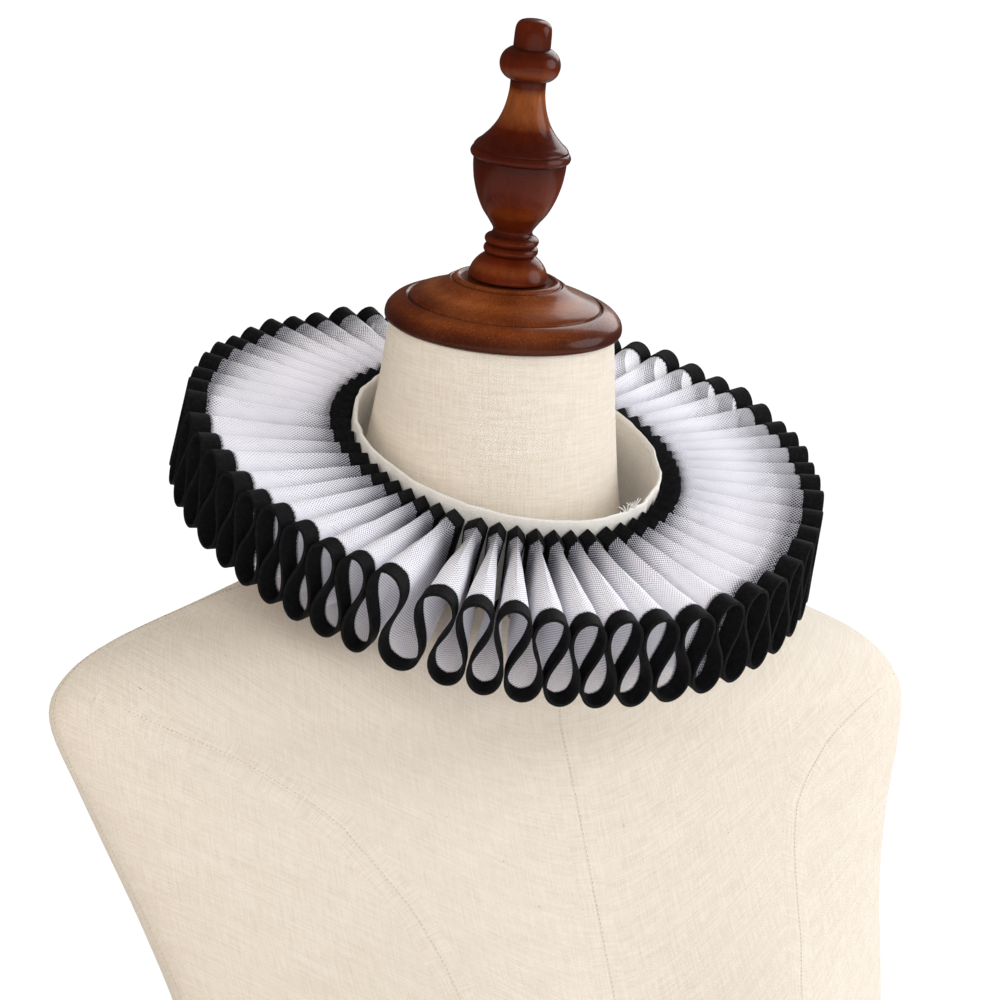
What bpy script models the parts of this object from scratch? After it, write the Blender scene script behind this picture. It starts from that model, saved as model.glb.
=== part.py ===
"""Ruff collar with black bound edges, resting on a limbless dress form.

The collar is one long strip of stiff white net.  Both long edges are bound with
black ribbon, and the strip is folded into deep organ pleats that are sewn round
a woven neckband.  The dress form below it is a linen covered body with a turned
wooden neck cap and finial.

Lengths in this file are millimetres, angles are degrees.  The collar is worked
out about its own centre, the middle of its top rim, and then leant forward and
lifted to its place on the form.  +Z is up and the form faces -Y.
"""

import math

import bpy
from mathutils import Matrix, Vector

MM = 0.001

# --- the whole object -----------------------------------------------------------
COLLAR_HEIGHT = 672.0        # middle of the collar's top rim above the flat base
DEPTH_SHIFT = -8.6           # brings the middle of the whole depth to y = 0
COLLAR_LEAN = 28.5           # the collar leans forward with the neck
COLLAR_SIDE_LEAN = -2.7      # and sits a little higher on the +X side
SEAM_GAP = 0.3               # between pieces that are sewn or rest on each other

# --- the pleated strip ----------------------------------------------------------
RIM_RADIUS_X = 137.5         # outer edge of the pleats
RIM_RADIUS_Y = 140.4
NECK_RADIUS_X = 64.0         # inner face of the neckband
NECK_RADIUS_Y = 71.7
BAND_WALL = 1.6
BAND_TOP = 3.6               # the neckband stands proud of the pleats
BAND_BOTTOM = -37.0
BAND_STEPS = 76
PLEAT_HEIGHT_INNER = 38.0    # tall, tightly pressed folds at the neck
PLEAT_HEIGHT_OUTER = 37.5    # rounded loops at the rim
RIM_SADDLE = -4.5            # front and back of the rim droop, the sides lift
UNDERSIDE_FLARE = 2.4        # the lower loops reach out past the upper ones
LOOP_SWING = 117.0           # steepest angle of the cloth in an outer loop
FOLD_TURN = 0.055            # share of a pleat's cloth in half of a pressed fold's roof
FOLD_ROOF = 0.36             # how far that roof reaches, in pleat widths
FOLD_ROOF_DROP = 0.085       # and how far it drops, in pleat heights
BINDING_WIDTH = 9.0          # black ribbon seen on each face of the edge
NET_WALL = 1.0
OUTER_BINDING_WALL = 1.5
INNER_BINDING_WALL = 1.2
OPENING_ANGLE = -181.6       # the strip's two ends meet at the back
OPENING_GAP = 0.5            # half of the angle between the two ends
RIPPLE_WIDTH = 0.035         # unevenness of hand-set pleats, share of the width
RIPPLE_WIDTH_TURN = 2.4      # radians from one pleat to the next
RIPPLE_HEIGHT = 0.9
RIPPLE_HEIGHT_TURN = 1.9
LOOP_STEPS = 240             # steps along one pleat's cloth when its loop is drawn
MITRE_LIMIT = 0.3            # smallest cosine that a mitred corner is drawn with

# Gaps between neighbouring pleat tops, from the back opening round by -X, the
# front (0 degrees) and +X to the back again.
PLEAT_STRETCHES = (
    # where, number of gaps, degrees each
    ("back, -X half", 7, 6.0),
    ("-X side, pressed", 4, 6.2),
    ("-X side, open", 2, 8.05),
    ("-X side, eased", 2, 6.95),
    ("front -X, pressed", 6, 5.93),
    ("front -X, widest", 1, 9.6),
    ("front -X, next to it", 1, 6.4),
    ("front", 5, 6.5),
    ("front middle, open", 1, 8.4),
    ("front +X", 4, 6.9),
    ("+X side", 5, 6.24),
    ("+X side, pressed", 4, 5.0),
    ("+X side, back", 6, 6.3),
    ("back, +X half", 8, 6.0),
)
BACK_HALF_GAP = 3.0          # from the opening to the first pleat top

# Where along a pleat's cloth its outline turns, from one top (0) to the next (1).
LOOP_TURNS = (0.0, 0.055, 0.115, 0.385, 0.445, 0.5, 0.555, 0.615, 0.885, 0.945)
FOLD_TURNS = (0.0, 0.055, 0.445, 0.5, 0.555, 0.945)

# --- hook-and-loop tab inside the back opening ------------------------------------
TAB_HALF_ANGLE = 10.0
TAB_WALL = 1.2
TAB_TOP = 0.0
TAB_BOTTOM = -34.0
TAB_STEPS = 6

# --- the wooden cap and finial ----------------------------------------------------
CAP_CENTRE = (-0.2, 2.1, 53.7)   # middle of the brim, from the collar's centre
CAP_LEAN = 17.4
CAP_SIDE_LEAN = -3.3
FINIAL_SIDE_LEAN = -2.3         # the finial doesn't stand quite square on the cap
CAP_SIDES = 32
FINIAL_SIDES = 20
CAP_PROFILE = (
    # radius, height above the brim's middle
    (49.6, -2.3),
    (50.8, -1.4),
    (50.9, 1.0),
    (50.0, 3.2),
    (47.0, 6.1),
    (42.6, 8.0),
    (41.4, 7.5),
    (40.2, 9.2),
    (34.0, 11.9),
    (27.0, 15.0),
    (24.2, 17.0),
    (22.4, 18.2),
    (20.4, 18.2),
    (19.6, 17.6),
)
FINIAL_PROFILE = (
    # radius, height above the brim's middle
    (16.6, 18.2),
    (16.9, 19.6),
    (15.9, 23.1),
    (13.4, 26.7),
    (10.4, 28.8),
    (11.6, 30.8),
    (10.2, 33.1),
    (11.5, 35.3),
    (9.0, 37.4),
    (8.4, 39.5),
    (10.8, 43.1),
    (16.0, 51.4),
    (18.9, 60.0),
    (20.0, 68.8),
    (21.2, 71.3),
    (21.2, 74.4),
    (18.2, 77.2),
    (11.2, 85.4),
    (7.8, 94.2),
    (7.5, 104.1),
    (11.4, 106.5),
    (13.0, 111.3),
    (11.1, 116.0),
    (7.7, 117.7),
    (7.5, 125.8),
    (5.2, 129.1),
)

# --- the linen covered body -------------------------------------------------------
BODY_SIDES = 40
BODY_SECTIONS = (
    # height, half width, y of the sides, front y, back y, front lean, back lean, side lean
    (51.2, 48.6, 3.8, -42.2, 49.8, 17.4, 17.4, 3.3),
    (20.0, 51.6, 9.5, -40.8, 57.3, 21.0, 21.0, 3.2),
    (0.0, 54.4, 14.0, -39.4, 61.8, 24.0, 24.0, 3.0),
    (-20.0, 57.6, 17.5, -38.5, 68.5, 26.0, 26.0, 2.8),
    (-35.4, 61.2, 19.5, -39.5, 76.5, 27.0, 27.0, 2.7),
    (-40.8, 69.0, 19.5, -41.0, 81.5, 26.0, 20.0, 2.5),
    (-48.5, 91.0, 18.0, -42.3, 85.0, 24.0, 8.0, 1.8),
    (-58.5, 122.0, 15.0, -43.2, 87.0, 20.0, -2.0, 0.9),
    (-65.0, 139.0, 13.0, -43.8, 88.0, 17.5, -6.0, 0.4),
    (-72.5, 157.0, 11.0, -44.4, 88.5, 14.5, -9.0, 0.0),
    (-80.5, 175.5, 10.0, -45.0, 89.0, 12.0, -11.0, 0.0),
    (-89.5, 190.0, 9.5, -45.8, 89.5, 9.5, -10.0, 0.0),
    (-102.0, 200.0, 7.5, -47.2, 90.0, 6.0, -6.0, 0.0),
    (-116.0, 201.0, 4.0, -49.3, 90.0, 2.5, -2.5, 0.0),
    (-138.0, 193.0, -3.0, -58.5, 90.0, 0.0, 0.0, 0.0),
    (-162.0, 183.0, -9.0, -69.0, 88.0, 0.0, 0.0, 0.0),
    (-194.0, 171.0, -22.0, -82.0, 83.0, 0.0, 0.0, 0.0),
    (-232.0, 160.0, -40.0, -97.0, 74.0, 0.0, 0.0, 0.0),
    (-260.0, 156.5, -43.0, -103.0, 69.0, 0.0, 0.0, 0.0),
    (-290.0, 151.0, -42.0, -105.0, 65.0, 0.0, 0.0, 0.0),
    (-320.0, 144.5, -38.0, -104.0, 62.0, 0.0, 0.0, 0.0),
    (-360.0, 133.0, -30.0, -101.0, 60.0, 0.0, 0.0, 0.0),
    (-400.0, 123.0, -22.0, -99.0, 61.0, 0.0, 0.0, 0.0),
    (-430.0, 119.0, -16.0, -98.0, 66.0, 0.0, 0.0, 0.0),
    (-465.0, 122.0, -11.0, -100.0, 77.0, 0.0, 0.0, 0.0),
    (-510.0, 136.0, -5.0, -106.0, 94.0, 0.0, 0.0, 0.0),
    (-560.0, 154.0, 1.0, -112.0, 112.0, 0.0, 0.0, 0.0),
    (-610.0, 166.0, 4.0, -114.0, 120.0, 0.0, 0.0, 0.0),
    (-645.0, 169.0, 5.0, -113.0, 121.0, 0.0, 0.0, 0.0),
    (-672.0, 168.0, 5.0, -112.0, 120.0, 0.0, 0.0, 0.0),
)
BUST_OUT = 36.0              # how far each breast stands out of the sections
BUST_X = 76.0
BUST_HEIGHT = -285.0
BUST_SPREAD_X = 48.0
BUST_SPREAD_UP = 62.0
BUST_SPREAD_DOWN = 44.0


# --- scene and materials ----------------------------------------------------------
def clear_scene():
    for old in list(bpy.data.objects):
        bpy.data.objects.remove(old, do_unlink=True)


def make_material(name, colour, roughness, coat=0.0):
    material = bpy.data.materials.new(name)
    material.use_nodes = True
    shader = material.node_tree.nodes["Principled BSDF"]
    shader.inputs["Base Color"].default_value = (*colour, 1.0)
    shader.inputs["Roughness"].default_value = roughness
    shader.inputs["Metallic"].default_value = 0.0
    shader.inputs["Coat Weight"].default_value = coat
    material.diffuse_color = (*colour, 1.0)
    return material


def make_object(name, points, faces, material, place, sharp_angle=35.0):
    """One closed solid from points in millimetres, moved by place (a matrix)."""
    mesh = bpy.data.meshes.new(name)
    mesh.from_pydata([tuple((place @ Vector(p)) * MM) for p in points], [], faces)
    mesh.validate()
    mesh.shade_smooth()
    mesh.set_sharp_from_angle(angle=math.radians(sharp_angle))
    mesh.materials.append(material)
    obj = bpy.data.objects.new(name, mesh)
    bpy.context.scene.collection.objects.link(obj)
    return obj


# --- places -----------------------------------------------------------------------
def lean_matrix(forward, sideways):
    """Lean forward (front goes down) about X, then sideways about Y."""
    return (Matrix.Rotation(math.radians(sideways), 4, "Y")
            @ Matrix.Rotation(math.radians(forward), 4, "X"))


def form_place():
    return Matrix.Translation((0.0, DEPTH_SHIFT, COLLAR_HEIGHT))


def collar_place():
    return form_place() @ lean_matrix(COLLAR_LEAN, COLLAR_SIDE_LEAN)


def cap_place(side_lean):
    lean = lean_matrix(CAP_LEAN, side_lean)
    return form_place() @ Matrix.Translation(CAP_CENTRE) @ lean


# --- the shape of one pleat -------------------------------------------------------
def loop_outline(swing, steps):
    """An outer loop as a bending strip takes it: its angle to the rim follows a
    sine.  Returns x in pleat widths and z in pleat heights, from top to top."""
    xs, zs = [0.0], [0.0]
    for step in range(steps):
        angle = math.radians(swing) * math.sin(2.0 * math.pi * (step + 0.5) / steps)
        xs.append(xs[-1] + math.cos(angle))
        zs.append(zs[-1] - math.sin(angle))
    width = xs[-1]
    height = -min(zs)
    return [x / width for x in xs], [z / height for z in zs]


LOOP_X, LOOP_Z = loop_outline(LOOP_SWING, LOOP_STEPS)


def read_loop(share):
    """The loop's point at this share of one pleat's cloth."""
    place = share * (len(LOOP_X) - 1)
    low = min(int(place), len(LOOP_X) - 2)
    rest = place - low
    return (LOOP_X[low] + rest * (LOOP_X[low + 1] - LOOP_X[low]),
            LOOP_Z[low] + rest * (LOOP_Z[low + 1] - LOOP_Z[low]))


def read_fold(share):
    """The pressed fold at the neck: a wide roof over two legs that lean together, and
    the same upside down below."""
    half = share if share <= 0.5 else 1.0 - share
    if half < FOLD_TURN:
        part = half / FOLD_TURN
        across, drop = FOLD_ROOF * part, FOLD_ROOF_DROP * part
    elif half > 0.5 - FOLD_TURN:
        part = (0.5 - half) / FOLD_TURN
        across, drop = 0.5 - FOLD_ROOF * part, 1.0 - FOLD_ROOF_DROP * part
    else:
        part = (half - FOLD_TURN) / (0.5 - 2.0 * FOLD_TURN)
        across = FOLD_ROOF + part * (0.5 - 2.0 * FOLD_ROOF)
        drop = FOLD_ROOF_DROP + part * (1.0 - 2.0 * FOLD_ROOF_DROP)
    return (across if share <= 0.5 else 1.0 - across), -drop


def pleat_tops():
    """Angles of the pleat tops round the neck, with a small steady unevenness."""
    gaps = [degrees for _, count, degrees in PLEAT_STRETCHES for _ in range(count)]
    gaps = [gap * (1.0 + RIPPLE_WIDTH * math.sin(RIPPLE_WIDTH_TURN * number))
            for number, gap in enumerate(gaps)]
    room = 360.0 - 2.0 * BACK_HALF_GAP
    scale = room / sum(gaps)
    tops = [OPENING_ANGLE + BACK_HALF_GAP]
    for gap in gaps:
        tops.append(tops[-1] + gap * scale)
    return tops


TOPS = pleat_tops()
PLEATS = len(TOPS)


def angle_at(position):
    """Angle for a position counted in pleats, where whole numbers are the tops."""
    number = max(0, min(PLEATS - 2, math.floor(position)))
    if position < 0.0:
        return TOPS[0] + position * 2.0 * (BACK_HALF_GAP - OPENING_GAP)
    if position > PLEATS - 1:
        return TOPS[-1] + (position - PLEATS + 1) * 2.0 * (BACK_HALF_GAP - OPENING_GAP)
    return TOPS[number] + (position - number) * (TOPS[number + 1] - TOPS[number])


def cloth_positions(turns):
    """Shares of cloth from the opening's first bottom fold to its last one."""
    places = [number + turn for number in range(-1, PLEATS) for turn in turns]
    return [place for place in places if -0.5 <= place <= PLEATS - 0.5]


def pleat_height_change(number):
    return RIPPLE_HEIGHT * math.sin(RIPPLE_HEIGHT_TURN * number)


def strip_row(turns, across, wall):
    """Both faces of the pleated strip along one row.  across is 0 at the neck
    and 1 at the rim.  Returns two lists of points in the collar's own frame."""
    neck_x = NECK_RADIUS_X + BAND_WALL + SEAM_GAP
    neck_y = NECK_RADIUS_Y + BAND_WALL + SEAM_GAP
    radius_x = neck_x + across * (RIM_RADIUS_X - neck_x)
    radius_y = neck_y + across * (RIM_RADIUS_Y - neck_y)
    mean_radius = 0.5 * (radius_x + radius_y)
    middle = []
    for place in cloth_positions(turns):
        number = math.floor(place)
        share = place - number
        loop_x, loop_z = read_loop(share)
        fold_x, fold_z = read_fold(share)
        position = number + fold_x + across * (loop_x - fold_x)
        top = across * pleat_height_change(number if share < 0.5 else number + 1)
        inner_z = fold_z * PLEAT_HEIGHT_INNER
        outer_z = loop_z * PLEAT_HEIGHT_OUTER
        along = math.radians(angle_at(position)) * mean_radius
        middle.append((along, inner_z + across * (outer_z - inner_z) + top * (1.0 + loop_z)))
    faces = []
    for side in (-0.5, 0.5):
        points = []
        for along, height in offset_line(middle, side * wall):
            angle = along / mean_radius
            flare = across * UNDERSIDE_FLARE * -height / PLEAT_HEIGHT_OUTER
            points.append((
                (radius_x + flare) * math.sin(angle),
                -(radius_y + flare) * math.cos(angle),
                height + across * RIM_SADDLE * math.cos(2.0 * angle),
            ))
        faces.append(points)
    return faces


def offset_line(line, distance):
    """A folded line moved sideways, mitred at each turn."""
    moved = []
    last = len(line) - 1
    for number, (x, z) in enumerate(line):
        before = line[max(number - 1, 0)]
        after = line[min(number + 1, last)]
        first = Vector((x - before[0], z - before[1]))
        second = Vector((after[0] - x, after[1] - z))
        first = first.normalized() if first.length > 0.0 else second.normalized()
        second = second.normalized() if second.length > 0.0 else first
        normal = Vector((-(first.y + second.y), first.x + second.x)).normalized()
        reach = distance / max(normal.dot(Vector((-first.y, first.x))), MITRE_LIMIT)
        moved.append((x + normal.x * reach, z + normal.y * reach))
    return moved


def make_strip(name, turns, start, end, wall, material):
    """A stretch of the pleated strip between two distances from the neck edge."""
    rows = strip_row(turns, start, wall) + strip_row(turns, end, wall)
    inner_low, inner_high, outer_low, outer_high = rows
    count = len(inner_low)
    points = [p for group in zip(inner_low, inner_high, outer_high, outer_low) for p in group]
    faces = [(3, 2, 1, 0)]
    for number in range(count - 1):
        near, far = 4 * number, 4 * number + 4
        faces += [
            (near, near + 1, far + 1, far),
            (near + 2, near + 3, far + 3, far + 2),
            # Both skins fold along the same diagonal, so they stay a wall apart.
            (near + 1, near + 2, far + 2), (near + 1, far + 2, far + 1),
            (near + 3, near, far + 3), (near, far, far + 3),
        ]
    last = 4 * (count - 1)
    faces.append((last, last + 1, last + 2, last + 3))
    return make_object(name, points, faces, material, collar_place(), sharp_angle=50.0)


def make_pleated_strip(net_material, ribbon_material):
    """The net and the two ribbons that bind its long edges."""
    depth = RIM_RADIUS_X - NECK_RADIUS_X - BAND_WALL - SEAM_GAP
    bound = BINDING_WIDTH / depth
    gap = SEAM_GAP / depth
    make_strip("ruffle_net", LOOP_TURNS, bound + gap, 1.0 - bound - gap, NET_WALL, net_material)
    make_strip("outer_binding", LOOP_TURNS, 1.0 - bound, 1.0, OUTER_BINDING_WALL, ribbon_material)
    make_strip("inner_binding", FOLD_TURNS, 0.0, bound, INNER_BINDING_WALL, ribbon_material)


# --- neckband ---------------------------------------------------------------------
def make_curved_wall(name, start, end, steps, inset, wall, low, high, material):
    """An upright wall that follows the neck opening between two angles."""
    points, faces = [], [(0, 1, 2, 3)]
    for step in range(steps + 1):
        angle = math.radians(start + (end - start) * step / steps)
        for out, height in ((0.0, low), (wall, low), (wall, high), (0.0, high)):
            points.append((
                (NECK_RADIUS_X + inset + out) * math.sin(angle),
                -(NECK_RADIUS_Y + inset + out) * math.cos(angle),
                height,
            ))
    for step in range(steps):
        near, far = 4 * step, 4 * step + 4
        for corner in range(4):
            following = (corner + 1) % 4
            faces.append((near + following, near + corner, far + corner, far + following))
    last = 4 * steps
    faces.append((last + 3, last + 2, last + 1, last))
    return make_object(name, points, faces, material, collar_place())


def make_neckband(material):
    make_curved_wall("neckband", OPENING_ANGLE + OPENING_GAP, OPENING_ANGLE + 360.0 - OPENING_GAP,
                     BAND_STEPS, 0.0, BAND_WALL, BAND_BOTTOM, BAND_TOP, material)


def make_back_tab(material):
    make_curved_wall("back_tab", OPENING_ANGLE - TAB_HALF_ANGLE, OPENING_ANGLE + TAB_HALF_ANGLE,
                     TAB_STEPS, -SEAM_GAP - TAB_WALL, TAB_WALL, TAB_BOTTOM, TAB_TOP, material)


# --- turned wood ------------------------------------------------------------------
def make_turned(name, profile, sides, side_lean, material):
    """A turned piece that stands on the cap's middle, closed flat at both ends."""
    points = [
        (radius * math.cos(2.0 * math.pi * side / sides),
         radius * math.sin(2.0 * math.pi * side / sides), height)
        for radius, height in profile for side in range(sides)
    ]
    faces = [tuple(range(sides - 1, -1, -1))]
    for ring in range(len(profile) - 1):
        for side in range(sides):
            following = (side + 1) % sides
            faces.append((ring * sides + side, ring * sides + following,
                          (ring + 1) * sides + following, (ring + 1) * sides + side))
    top = (len(profile) - 1) * sides
    faces.append(tuple(range(top, top + sides)))
    return make_object(name, points, faces, material, cap_place(side_lean))


# --- the body ---------------------------------------------------------------------
def bust_reach(x, height):
    spread = BUST_SPREAD_UP if height > BUST_HEIGHT else BUST_SPREAD_DOWN
    sideways = (abs(x) - BUST_X) / BUST_SPREAD_X
    upright = (height - BUST_HEIGHT) / spread
    return BUST_OUT * math.exp(-sideways ** 2 - upright ** 2)


def body_point(section, side):
    height, half_width, side_y, front_y, back_y, front_lean, back_lean, side_lean = section
    angle = 2.0 * math.pi * side / BODY_SIDES
    at_front = math.sin(angle) < 0.0
    x = half_width * math.cos(angle)
    depth = side_y - front_y if at_front else back_y - side_y
    y = side_y + depth * math.sin(angle)
    if at_front:
        y += bust_reach(x, height) * math.sin(angle)
    lean = front_lean if at_front else back_lean
    z = (height + (y - side_y) * math.tan(math.radians(lean))
         + x * math.tan(math.radians(side_lean)))
    return (x, y, z)


def make_form_body(material):
    points = [body_point(section, side) for section in BODY_SECTIONS for side in range(BODY_SIDES)]
    faces = [tuple(range(BODY_SIDES))]
    for ring in range(len(BODY_SECTIONS) - 1):
        for side in range(BODY_SIDES):
            following = (side + 1) % BODY_SIDES
            faces.append((ring * BODY_SIDES + following, ring * BODY_SIDES + side,
                          (ring + 1) * BODY_SIDES + side, (ring + 1) * BODY_SIDES + following))
    bottom = (len(BODY_SECTIONS) - 1) * BODY_SIDES
    faces.append(tuple(range(bottom + BODY_SIDES - 1, bottom - 1, -1)))
    return make_object("form_body", points, faces, material, form_place())


clear_scene()
net = make_material("white_net", (0.86, 0.85, 0.88), 0.7)
ribbon = make_material("black_ribbon", (0.012, 0.012, 0.014), 0.75)
cotton = make_material("cream_cotton", (0.82, 0.79, 0.74), 0.85)
linen = make_material("natural_linen", (0.78, 0.70, 0.58), 0.9)
wood = make_material("varnished_wood", (0.16, 0.04, 0.02), 0.25, coat=0.6)
make_pleated_strip(net, ribbon)
make_neckband(cotton)
make_back_tab(cotton)
make_form_body(linen)
make_turned("neck_cap", CAP_PROFILE, CAP_SIDES, CAP_SIDE_LEAN, wood)
make_turned("finial", FINIAL_PROFILE, FINIAL_SIDES, FINIAL_SIDE_LEAN, wood)
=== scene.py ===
import math
from functools import partial, partialmethod

import bpy
import numpy as np
from mathutils import Matrix, Vector, noise


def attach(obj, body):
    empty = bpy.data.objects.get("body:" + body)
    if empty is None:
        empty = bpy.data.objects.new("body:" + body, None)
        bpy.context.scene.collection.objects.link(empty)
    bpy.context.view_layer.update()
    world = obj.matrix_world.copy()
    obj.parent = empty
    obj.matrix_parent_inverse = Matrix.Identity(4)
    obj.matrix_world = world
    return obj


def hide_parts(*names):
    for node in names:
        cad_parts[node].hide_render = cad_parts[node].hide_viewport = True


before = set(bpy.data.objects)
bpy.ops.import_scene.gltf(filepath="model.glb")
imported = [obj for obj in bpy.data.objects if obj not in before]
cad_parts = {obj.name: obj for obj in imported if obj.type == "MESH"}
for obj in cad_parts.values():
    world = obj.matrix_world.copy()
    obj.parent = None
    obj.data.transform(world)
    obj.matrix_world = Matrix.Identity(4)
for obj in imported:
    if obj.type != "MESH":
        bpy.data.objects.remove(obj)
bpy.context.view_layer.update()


# --- linen covered body ---
# The dress form's body is a hard shell covered in unbleached slub linen, closed flat
# below the hips.  Lengths are millimetres and heights count from the middle of the
# collar's rim; the sections are eased into one smooth shell.
MM = 0.001
FORM_PLACE = Matrix.Translation((0.0, -8.6, 672.0))
UP = Vector((0.0, 0.0, 1.0))
BODY_SECTIONS = (
    # height, half width, y of the sides, front y, back y, front lean, back lean, side lean;
    # no leans where there are only five
    (51.2, 48.6, 3.8, -42.2, 49.8, 17.4, 17.4, 3.3),
    (20, 51.6, 9.5, -40.8, 57.3, 21, 21, 3.2),
    (0, 54.4, 14, -39.4, 61.8, 24, 24, 3),
    (-20, 57.6, 17.5, -38.5, 68.5, 26, 26, 2.8),
    (-35.4, 61.2, 19.5, -39.5, 76.5, 27, 27, 2.7),
    (-40.8, 69, 19.5, -41, 81.5, 26, 20, 2.5),
    (-48.5, 91, 18, -42.3, 85, 24, 8, 1.8),
    (-58.5, 122, 15, -43.2, 87, 20, -2, 0.9),
    (-65, 139, 13, -43.8, 88, 17.5, -6, 0.4),
    (-72.5, 157, 11, -44.4, 88.5, 14.5, -9, 0),
    (-80.5, 175.5, 10, -45, 89, 12, -11, 0),
    (-89.5, 190, 9.5, -45.8, 89.5, 9.5, -10, 0),
    (-102, 200, 7.5, -47.2, 90, 6, -6, 0),
    (-116, 201, 4, -49.3, 90, 2.5, -2.5, 0),
    (-138, 193, -3, -58.5, 90),
    (-162, 183, -9, -69, 88),
    (-194, 171, -22, -82, 83),
    (-232, 160, -40, -97, 74),
    (-260, 156.5, -43, -103, 69),
    (-290, 151, -42, -105, 65),
    (-320, 144.5, -38, -104, 62),
    (-360, 133, -30, -101, 60),
    (-400, 123, -22, -99, 61),
    (-430, 119, -16, -98, 66),
    (-465, 122, -11, -100, 77),
    (-510, 136, -5, -106, 94),
    (-560, 154, 1, -112, 112),
    (-610, 166, 4, -114, 120),
    (-645, 169, 5, -113, 121),
    (-672, 168, 5, -112, 120),
)
BODY_SECTIONS = [(*row, 0, 0, 0)[:8] for row in BODY_SECTIONS]
BODY_SIDES, RINGS_PER_SECTION = 144, 4
BUST_OUT, BUST_X, BUST_HEIGHT = 36.0, 76.0, -285.0
BUST_SPREAD_X, BUST_SPREAD_UP, BUST_SPREAD_DOWN = 48.0, 62.0, 44.0
LINEN_COLOURS = (0.825, 0.75, 0.65), (0.60, 0.48, 0.35), (0.30, 0.20, 0.11)
# Thread, length of a streak and depth of the weave in mm, and strength of the streaks
LINEN_WEAVE = (0.62, 24.0, 0.22, 0.95)
STREAKS_PER_THREAD, CROSSWISE_START = 0.7, 31.7
FLECK_SCALE, FLECK_RANGE, FLECK_STREAK = 0.42, (0.70, 0.78), (0.04, 0.16)
WEAVE_SHADE, LEAST_SHADE, STREAK_RELIEF = 0.16, 0.12, 1.6


class Measure:
    """What a node gives out; numbers are worked with as plain arithmetic."""

    def __init__(self, tree, socket):
        self.tree, self.socket = tree, socket

    def work(self, operation, *others, clamp=False):
        return measure(self.tree, "ShaderNodeMath", dict(enumerate((self, *others))),
                       operation=operation, use_clamp=clamp)

    __add__ = __radd__ = partialmethod(work, "ADD")
    __sub__ = partialmethod(work, "SUBTRACT")
    __rsub__ = partialmethod(work, "MULTIPLY_ADD", -1)
    __mul__ = __rmul__ = partialmethod(work, "MULTIPLY")
    __truediv__ = partialmethod(work, "DIVIDE")
    sine = partialmethod(work, "SINE")
    cosine = partialmethod(work, "COSINE")

    def ramp(self, low, high):
        """0 below low and 1 above high, straight between them."""
        slope = 1 / (high - low)
        return self.work("MULTIPLY_ADD", slope, -low * slope, clamp=True)

    def blend(self, first, second):
        """A colour this share of the way between two others."""
        return measure(self.tree, "ShaderNodeMix", {0: self, 6: first, 7: second}, 2,
                       data_type="RGBA")

    def siblings(self):
        """All that the same node gives out."""
        return [Measure(self.tree, output) for output in self.socket.node.outputs]

    def parts(self):
        """A place's X, Y and Z."""
        return measure(self.tree, "ShaderNodeSeparateXYZ", {0: self}).siblings()

    def into(self, place):
        self.tree.links.new(self.socket, place)


def measure(tree, kind, values=None, output=0, **settings):
    """What a new node gives out, once its settings are made and its inputs filled."""
    node = tree.nodes.new(kind)
    for name, value in settings.items():
        setattr(node, name, value)
    for name, value in (values or {}).items():
        place = node.inputs[name]
        if isinstance(value, Measure):
            value.into(place)
        else:
            place.default_value = (*value, 1) if place.type == "RGBA" else value
    return Measure(tree, node.outputs[output])


def soft_noise(place, scale, detail, roughness=0.5):
    return measure(place.tree, "ShaderNodeTexNoise",
                   {"Vector": place, "Scale": scale, "Detail": detail, "Roughness": roughness})


def start_group(name, kind, inputs, outputs):
    """A node group: its tree, the way to add a node, what it is given and its result."""
    tree = bpy.data.node_groups.new(name, kind)
    for way, sockets in (("INPUT", inputs), ("OUTPUT", outputs)):
        for label, socket_kind in sockets.items():
            tree.interface.new_socket(label, in_out=way, socket_type="NodeSocket" + socket_kind)
    source = tree.nodes.new("NodeGroupInput").outputs
    given = {label: Measure(tree, source[label]) for label in inputs}
    return tree, partial(measure, tree), given, tree.nodes.new("NodeGroupOutput").inputs


def make_weave_group():
    """Plain woven cloth from its length along and across: the height of its threads,
    and the streaks that thick and thin threads leave both ways."""
    tree, node, given, result = start_group(
        "woven_threads", "ShaderNodeTree",
        {"Cloth": "Vector", "Thread": "Float", "Streak Length": "Float"},
        {"Height": "Float", "Streaks": "Float", "Flecks": "Float"})
    along, across = (way / given["Thread"] for way in given["Cloth"].parts()[:2])
    weave = (along * math.pi).sine() * (across * math.pi).sine()
    streaks = []
    for first, second, offset in ((along, across, 0), (across, along, CROSSWISE_START)):
        place = node("ShaderNodeCombineXYZ", {
            0: first * STREAKS_PER_THREAD, 1: second / given["Streak Length"], 2: offset})
        streaks.append(soft_noise(place, 1, 3, 0.65) - 0.5)
    flecks = soft_noise(given["Cloth"], FLECK_SCALE, 2).ramp(*FLECK_RANGE)
    (weave * 0.5 + 0.5).into(result["Height"])
    (streaks[0] + streaks[1]).into(result["Streaks"])
    (flecks * streaks[1].ramp(*FLECK_STREAK)).into(result["Flecks"])
    return tree


WEAVE = make_weave_group()


def start_material(name, roughness, **constants):
    """A material, the way to add a node to it, and its Principled shader's inputs."""
    material = bpy.data.materials.new(name)
    material.use_nodes = True
    looks = material.node_tree.nodes["Principled BSDF"].inputs
    looks["Roughness"].default_value = roughness
    for label, value in constants.items():
        looks[label.replace("_", " ")].default_value = value
    return material, partial(measure, material.node_tree), looks


def paint(looks, colour, height, strength, depth):
    """Gives a shader its colour and a relief this many millimetres deep."""
    colour.into(looks["Base Color"])
    measure(colour.tree, "ShaderNodeBump", {
        "Strength": strength, "Distance": depth * MM, "Height": height}).into(looks["Normal"])


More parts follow.
